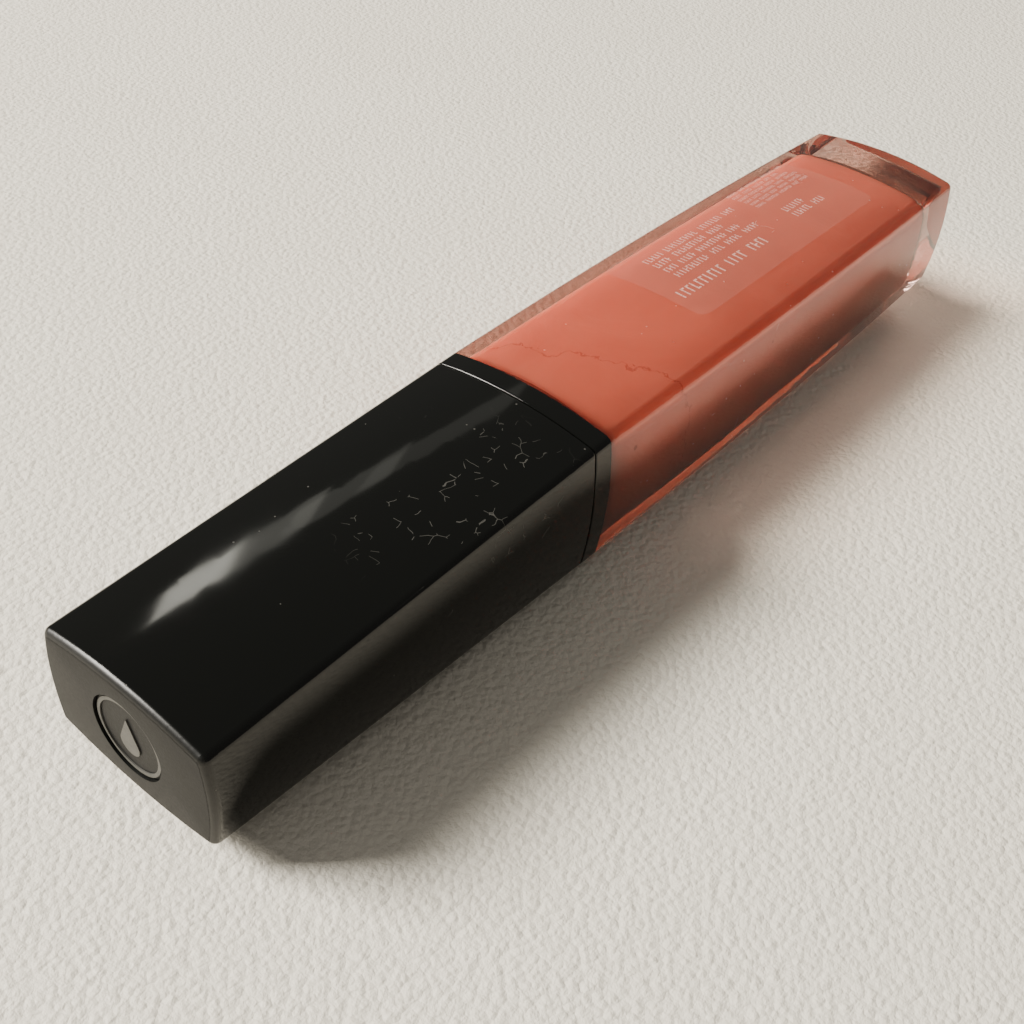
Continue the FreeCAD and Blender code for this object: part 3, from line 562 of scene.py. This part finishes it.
def end_skin():
    bm = bmesh.new()
    bm.from_mesh(frame["nodes"]["cap_shell"].data)
    bmesh.ops.remove_doubles(bm, verts=bm.verts, dist=0.001 * MM)
    others = [
        face for face in bm.faces
        if face.normal.x > -0.98 or face.calc_center_median().x > CLOSED_END + 0.1 * MM
    ]
    bmesh.ops.delete(bm, geom=others, context="FACES")
    bmesh.ops.translate(bm, verts=bm.verts, vec=(-SKIN_LIFT, 0, 0))
    print("faces in the skin:", len(bm.faces))
    return bm


finish_piece(end_skin(), "satin_end", "cap", black_satin)

# %% [markdown]
# ## The body of gloss
# The gloss fills the bottle's hollow: a long block with crowned faces and soft edges, thickest
# a third of the way along. It could be lofted through sections. A cube cut into a grid does the
# same: each point is pushed out by how near it is to the middle of its face, and then a bevel
# rounds the edges. It is a hair larger than the hollow, so it meets the plastic with no air
# between, as a liquid does.

# %% Piece: gloss body
def on_parabola(first, middle, last, along):
    """The value at along, from 0 to 1, of a curve through three even stations."""
    return (
        first * (1 - along) * (1 - 2 * along) + 4 * middle * along * (1 - along)
        + last * along * (2 * along - 1)
    )


def cut_along(bm, axis, cuts):
    """Cut every edge that runs along an axis."""
    running = [
        edge for edge in bm.edges
        if abs((edge.verts[0].co - edge.verts[1].co)[axis]) > 0.5 * edge.calc_length()
    ]
    bmesh.ops.subdivide_edges(bm, edges=running, cuts=cuts, use_grid_fill=True)


gloss_low, gloss_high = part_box("gloss_fill")
AXIS_HEIGHT = (gloss_low[2] + gloss_high[2]) / 2
SIDE_CROWN = 0.40 * MM
FACE_CROWN = 0.72 * MM
WETTING = 0.11 * MM
CAVITY_ROUND = 0.85 * MM
# half the cavity's width and height at its mouth, middle and base, in mm
HALF_WIDTHS = (7.02, 7.05, 6.72)
HALF_HEIGHTS = (4.53, 4.50, 4.16)
GLOSS_CUTS = ((0, 31), (1, 9), (2, 5))
print("axis height, mm:", round(AXIS_HEIGHT / MM, 3))


def gloss_body():
    bm = bmesh.new()
    bmesh.ops.create_cube(bm, size=2.0)
    for axis, cuts in GLOSS_CUTS:
        cut_along(bm, axis, cuts)
    low_x, high_x = gloss_low[0] - WETTING, gloss_high[0] + WETTING
    rims = []
    for edge in bm.edges:
        ends = [vert.co.copy() for vert in edge.verts]
        full = sum(all(abs(abs(end[axis]) - 1) < 1e-4 for end in ends) for axis in range(3))
        if full >= 2:
            rims.append(edge)
    for vert in bm.verts:
        along, across, up = (vert.co.x + 1) / 2, vert.co.y, vert.co.z
        wide = on_parabola(*HALF_WIDTHS, along) * MM + WETTING
        high = on_parabola(*HALF_HEIGHTS, along) * MM + WETTING
        vert.co.x = low_x + along * (high_x - low_x)
        vert.co.y = across * (wide + SIDE_CROWN * (1 - up * up))
        vert.co.z = AXIS_HEIGHT + up * (high + FACE_CROWN * (1 - across * across))
    bmesh.ops.bevel(bm, geom=rims, offset=CAVITY_ROUND, offset_type="OFFSET", segments=5,
                    profile=0.5, affect="EDGES", clamp_overlap=True, material=-1)
    bmesh.ops.recalc_face_normals(bm, faces=bm.faces)
    return bm


gloss = finish_piece(gloss_body(), "gloss_body", "bottle", coral_gloss)
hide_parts("gloss_fill")
print("gloss body:", len(gloss.data.polygons), "faces, size mm",
      [round(v / MM, 2) for v in gloss.dimensions])

# %% [markdown]
# ## The label film
# The label is printed on a clear film over the upper face. The film is so thin that a solid
# sheet would only add a second glassy layer. A grid of faces with rounded corners, laid a few
# hundredths of a millimetre over the bottle, shows it as a faint veil with a painted highlight
# along its edge. Each point is dropped onto the bottle along a ray, so the sheet follows the crown.

# %% Drop points onto the bottle
def tree_of(node_name):
    """A search tree over a model piece, to drop points onto it."""
    mesh = frame["nodes"][node_name].data
    points = [vert.co.copy() for vert in mesh.vertices]
    return BVHTree.FromPolygons(points, [tuple(face.vertices) for face in mesh.polygons])


bottle_tree = tree_of("bottle")
DOWN = Vector((0, 0, -1))
ABOVE_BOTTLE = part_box("bottle")[1][2] + 10 * MM


def lay_on_bottle(bm, lift):
    """Drop every point onto the bottle's upper face and lift it a little."""
    for vert in bm.verts:
        start = Vector((vert.co.x, vert.co.y, ABOVE_BOTTLE))
        hit = bottle_tree.ray_cast(start, DOWN)
        vert.co.z = hit[0].z + lift


crest = bottle_tree.ray_cast(Vector((10 * MM, 0, ABOVE_BOTTLE)), DOWN)[0].z
print("top of the bottle at its middle, mm:", round(crest / MM, 3))

# %% [markdown]
# The film's veil is a Principled shader with low alpha: pale and a little rough. Along the cut
# edge it is paler and stronger, a painted highlight where light gathers. The highlight's mask is
# an attribute on the mesh's points, so it follows the rounded corners by itself.

# %% Finish: film and print
def film_finish():
    material, tree, shader, place = new_material("label film")
    edge = add(tree, "ShaderNodeAttribute", attribute_name="painted_edge_highlight").outputs["Fac"]
    waves = place_group(tree, grain, place, FineScale=2600.0, BroadScale=260.0)
    tint = blend_colours(tree, waves["Broad"], (0.62, 0.30, 0.24, 1), (0.70, 0.38, 0.31, 1))
    # painted highlight: the cut edge is paler in colour and, below, more opaque
    join(tree, blend_colours(tree, edge, tint, (0.80, 0.55, 0.48, 1)), shader, "Base Color")
    join(tree, blend_values(tree, edge, 0.10, 0.32), shader, "Alpha")
    join(tree, blend_values(tree, waves["Fine"], 0.10, 0.2), shader, "Roughness")
    return material


def print_finish():
    material, tree, shader, place = new_material("pale print")
    waves = place_group(tree, grain, place, FineScale=5200.0, BroadScale=700.0)
    ink = blend_colours(tree, waves["Broad"], (0.66, 0.40, 0.34, 1), (0.76, 0.52, 0.46, 1))
    join(tree, ink, shader, "Base Color")
    join(tree, blend_values(tree, ramp(tree, waves["Fine"], 0.35, 0.6), 0.45, 0.85), shader, "Alpha")
    shader.inputs["Roughness"].default_value = 0.4
    return material


label_film_finish = film_finish()
pale_print = print_finish()
print("finishes made:", label_film_finish.name, "and", pale_print.name)

# %% [markdown]
# The sheet starts as one rectangle whose corners are bevelled round. It has to bend with the
# bottle's crown, so planes cut it into strips both ways before its points are dropped. An inset
# all round makes the narrow rim that carries the painted edge highlight.

# %% Piece: label film
film_low, film_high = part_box("label_film")
FILM_CORNER = 1.2 * MM
FILM_LIFT = 0.03 * MM
FILM_RIM = 0.09 * MM
STRIPS_ALONG = 64
STRIPS_ACROSS = 24


def film_outline():
    bm = bmesh.new()
    length, width = film_high[0] - film_low[0], film_high[1] - film_low[1]
    middle = Vector(((film_low[0] + film_high[0]) / 2, (film_low[1] + film_high[1]) / 2, 0))
    bmesh.ops.create_grid(bm, x_segments=1, y_segments=1, size=0.5)
    for vert in bm.verts:
        vert.co.x *= length
        vert.co.y *= width
    bmesh.ops.bevel(bm, geom=list(bm.verts), offset=FILM_CORNER, offset_type="OFFSET", segments=6,
                    profile=0.5, affect="VERTICES", clamp_overlap=False, material=-1)
    return bm, middle, length, width


def cut_in_strips(bm, direction, span, strips):
    """Cut the whole sheet into even strips across a direction."""
    for step in range(1, strips):
        place = Vector(direction) * (-span / 2 + span * step / strips)
        geometry = bm.verts[:] + bm.edges[:] + bm.faces[:]
        bmesh.ops.bisect_plane(bm, geom=geometry, plane_co=place, plane_no=direction)


def film_sheet():
    bm, middle, length, width = film_outline()
    cut_in_strips(bm, (1, 0, 0), length, STRIPS_ALONG)
    cut_in_strips(bm, (0, 1, 0), width, STRIPS_ACROSS)
    rim_faces = bmesh.ops.inset_region(bm, faces=bm.faces[:], thickness=FILM_RIM, depth=0.0,
                                       use_boundary=True)["faces"]
    outside = {vert for edge in bm.edges if edge.is_boundary for vert in edge.verts}
    bmesh.ops.translate(bm, verts=bm.verts, vec=middle)
    lay_on_bottle(bm, FILM_LIFT)
    # mask of the painted edge highlight: 1 on the sheet's outer edge, 0 inside
    layer = bm.verts.layers.float.new("painted_edge_highlight")
    for vert in bm.verts:
        vert[layer] = 1.0 if vert in outside else 0.0
    bmesh.ops.recalc_face_normals(bm, faces=bm.faces)
    if sum(face.normal.z for face in bm.faces) < 0:
        bmesh.ops.reverse_faces(bm, faces=bm.faces)
    print("film rim faces:", len(rim_faces))
    return bm


film = finish_piece(film_sheet(), "label_sheet", "bottle", label_film_finish)
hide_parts("label_film")

# %% [markdown]
# ## The print
# A real label carries small type. Rows of strokes stand for it here, grouped as words: a title,
# a paragraph and two small blocks. A short bar joins some strokes, so a pair can look like a
# letter by chance, but nothing is spelled. Lengths and bars come from a seeded random draw, so
# each run gives the same label.

# %% Piece: print bars
PRINT_LIFT = 0.05 * MM
STROKE_PITCH = 0.62
BAR_CHANCE = 0.75
BAR_LEVELS = (-0.42, 0.0, 0.42)
COLLAR_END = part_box("bottle_collar")[1][0]
draw = random.Random(17)
# start, end and first line's y from the joint, line count, line step, bar height, all in mm
PRINT_BLOCKS = (
    (19.4, 34.0, -1.0, 1, 1.6, 1.15),
    (22.0, 37.5, 1.1, 4, 1.15, 0.75),
    (38.8, 49.2, 2.9, 6, 0.68, 0.40),
    (40.0, 46.5, -0.6, 2, 1.2, 0.80),
)


def add_stroke(bm, place, across, width, height):
    """One flat stroke, its middle at place along the tube and across it."""
    made = bmesh.ops.create_grid(bm, x_segments=1, y_segments=1, size=0.5)
    for vert in made["verts"]:
        vert.co.x = vert.co.x * width + place
        vert.co.y = vert.co.y * height + across


def add_word(bm, start, end, across, height):
    """A row of strokes from start to end, some joined by a short bar at top, middle or foot."""
    pitch = height * STROKE_PITCH
    for index in range(max(1, round((end - start) / pitch))):
        place = start + (index + 0.5) * pitch
        add_stroke(bm, place, across, height * 0.16, height)
        if draw.random() < BAR_CHANCE:
            level = across + draw.choice(BAR_LEVELS) * height
            add_stroke(bm, place + pitch * 0.28, level, pitch * 0.5, height * 0.15)


def print_bars():
    bm = bmesh.new()
    words = 0
    for start, end, first, lines, step, height in PRINT_BLOCKS:
        for line in range(lines):
            place, across = start, first + line * step
            line_end = end - draw.uniform(0.0, 0.22) * (end - start) * (lines > 1)
            while place < line_end - 2 * height:
                stop = min(place + height * draw.uniform(2.2, 7.0), line_end)
                add_word(bm, COLLAR_END + place * MM, COLLAR_END + stop * MM,
                         across * MM, height * MM)
                place = stop + height * 0.8
                words += 1
    lay_on_bottle(bm, PRINT_LIFT)
    if sum(face.normal.z for face in bm.faces) < 0:
        bmesh.ops.reverse_faces(bm, faces=bm.faces)
    print("word bars:", words)
    return bm


finish_piece(print_bars(), "label_print", "bottle", pale_print)

# %% [markdown]
# ## The floor
# The tube lies on a pale sheet of fine foam. A plain plane carries it, with a bump of fine
# bubbles and a slight shine, so it stays plain but not dead.

# %% Floor
def floor_finish():
    material, tree, shader, place = new_material("pale foam")
    waves = place_group(tree, grain, place, FineScale=1500.0, BroadScale=45.0)
    tint = blend_colours(tree, waves["Broad"], (0.86, 0.80, 0.68, 1), (0.93, 0.88, 0.76, 1))
    join(tree, tint, shader, "Base Color")
    cells = add(tree, "ShaderNodeTexVoronoi", {"Scale": 1700.0})
    join(tree, place, cells, "Vector")
    join(tree, blend_values(tree, cells.outputs["Distance"], 0.35, 0.75), shader, "Roughness")
    shader.inputs["Specular IOR Level"].default_value = 0.35
    relief = math_node(tree, "MULTIPLY_ADD", cells.outputs["Distance"], -0.6, waves["Fine"])
    join(tree, bump(tree, relief, 0.5, 0.0004), shader, "Normal")
    return material


floor_bm = bmesh.new()
bmesh.ops.create_grid(floor_bm, x_segments=1, y_segments=1, size=2.0)
floor_mesh = bpy.data.meshes.new("floor")
floor_bm.to_mesh(floor_mesh)
floor_bm.free()
floor_mesh.materials.append(floor_finish())
floor = bpy.data.objects.new("floor", floor_mesh)
bpy.context.scene.collection.objects.link(floor)
print("floor at z = 0")

# %% [markdown]
# ## Light
# A soft window-like light from the far left draws the shadow to the near right. A low long
# light past the bottle lies in the cap's top as a stripe: black gloss shows lights only as
# their mirror images, so its place is chosen by where it reflects. The rest of the room is dim.

# %% Lights
def lamp(name, azimuth, elevation, distance, width, height, power, colour):
    """A soft rectangle that faces the tube, placed by angles from +X towards +Y."""
    turn, lift = math.radians(azimuth), math.radians(elevation)
    flat = math.cos(lift)
    outward = Vector((math.cos(turn) * flat, math.sin(turn) * flat, math.sin(lift)))
    light = bpy.data.lights.new(name, "AREA")
    light.shape = "RECTANGLE"
    light.size, light.size_y = width, height
    light.energy = power
    light.color = colour
    made = bpy.data.objects.new(name, light)
    bpy.context.scene.collection.objects.link(made)
    made.location = Vector((0, 0, 0.007)) + outward * distance
    made.rotation_mode = "QUATERNION"
    made.rotation_quaternion = outward.to_track_quat("Z", "Y")


WINDOW_COLOUR = (1.0, 0.955, 0.875)
LONG_LIGHT_COLOUR = (1.0, 0.98, 0.86)
ROOM_COLOUR = (1.0, 0.96, 0.90, 1)
ROOM_STRENGTH = 0.22

lamp("window", azimuth=128, elevation=36, distance=1.7, width=0.64, height=0.56, power=86.0,
     colour=WINDOW_COLOUR)
# azimuth, elevation, width, height and power of each piece of the long light
LONG_LIGHT = (
    (66.0, 40.0, 0.075, 0.095, 0.22),
    (60.8, 40.3, 0.110, 0.100, 0.055),
    (54.4, 40.8, 0.120, 0.078, 0.024),
    (46.0, 41.0, 0.175, 0.062, 0.016),
)
for index, (azimuth, elevation, width, height, power) in enumerate(LONG_LIGHT, 1):
    lamp(f"long_light_{index}", azimuth, elevation, 1.0, width, height, power, LONG_LIGHT_COLOUR)

world = bpy.data.worlds.new("room")
bpy.context.scene.world = world
world.use_nodes = True
room = world.node_tree.nodes["Background"]
room.inputs["Color"].default_value = ROOM_COLOUR
room.inputs["Strength"].default_value = ROOM_STRENGTH
print("lights set")
